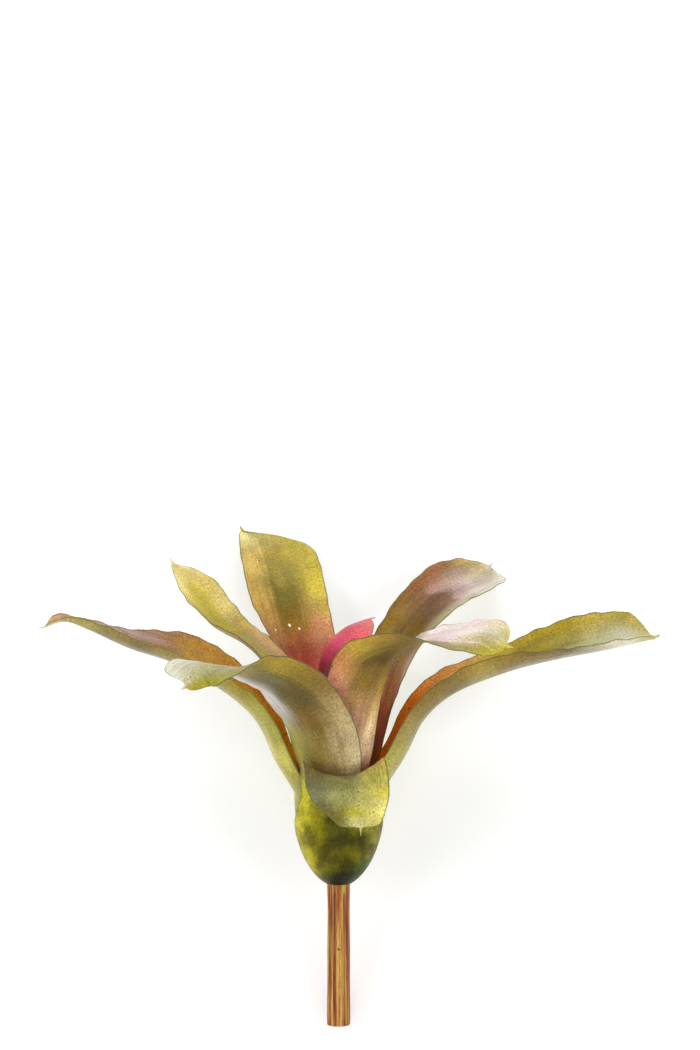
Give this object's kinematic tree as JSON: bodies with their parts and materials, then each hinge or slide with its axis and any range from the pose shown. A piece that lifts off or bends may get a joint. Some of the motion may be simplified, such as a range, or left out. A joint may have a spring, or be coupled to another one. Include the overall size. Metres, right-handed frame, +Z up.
{
  "type": "cut nidularium rosette on a stem",
  "caption": "Cut bromeliad rosette lying on its back: strap leaves with wavy margins spread from a bulb of overlapping leaf bases, a red young leaf in the heart, on a bare woody stem.",
  "frame": {"origin": "bottom centre of the bounding box, on the surface the rosette lies on", "axes": "+Z up from the surface; +Y along the lying plant from the cut end of the stem to the leaf tips; +X across, along the widest spread of the leaves"},
  "size_m": [0.3074, 0.2602, 0.1349],
  "materials": {
    "stem_bark": "matt, finely fibrous bark",
    "olive_leaf": "satin fleshy leaf, olive and golden with a fine speckle",
    "heart_leaf": "satin young leaf, rosy red to crimson at its foot"
  },
  "bodies": {
    "root": {"stem": "stem_bark", "short_front_leaf": "olive_leaf", "left_leaf": "olive_leaf", "right_leaf": "olive_leaf", "left_front_leaf": "olive_leaf", "right_front_leaf": "olive_leaf", "tall_back_leaf": "olive_leaf", "left_back_leaf": "olive_leaf", "right_back_leaf": "olive_leaf", "low_back_leaf": "olive_leaf", "heart_leaf": "heart_leaf"}
  },
  "joints": []
}
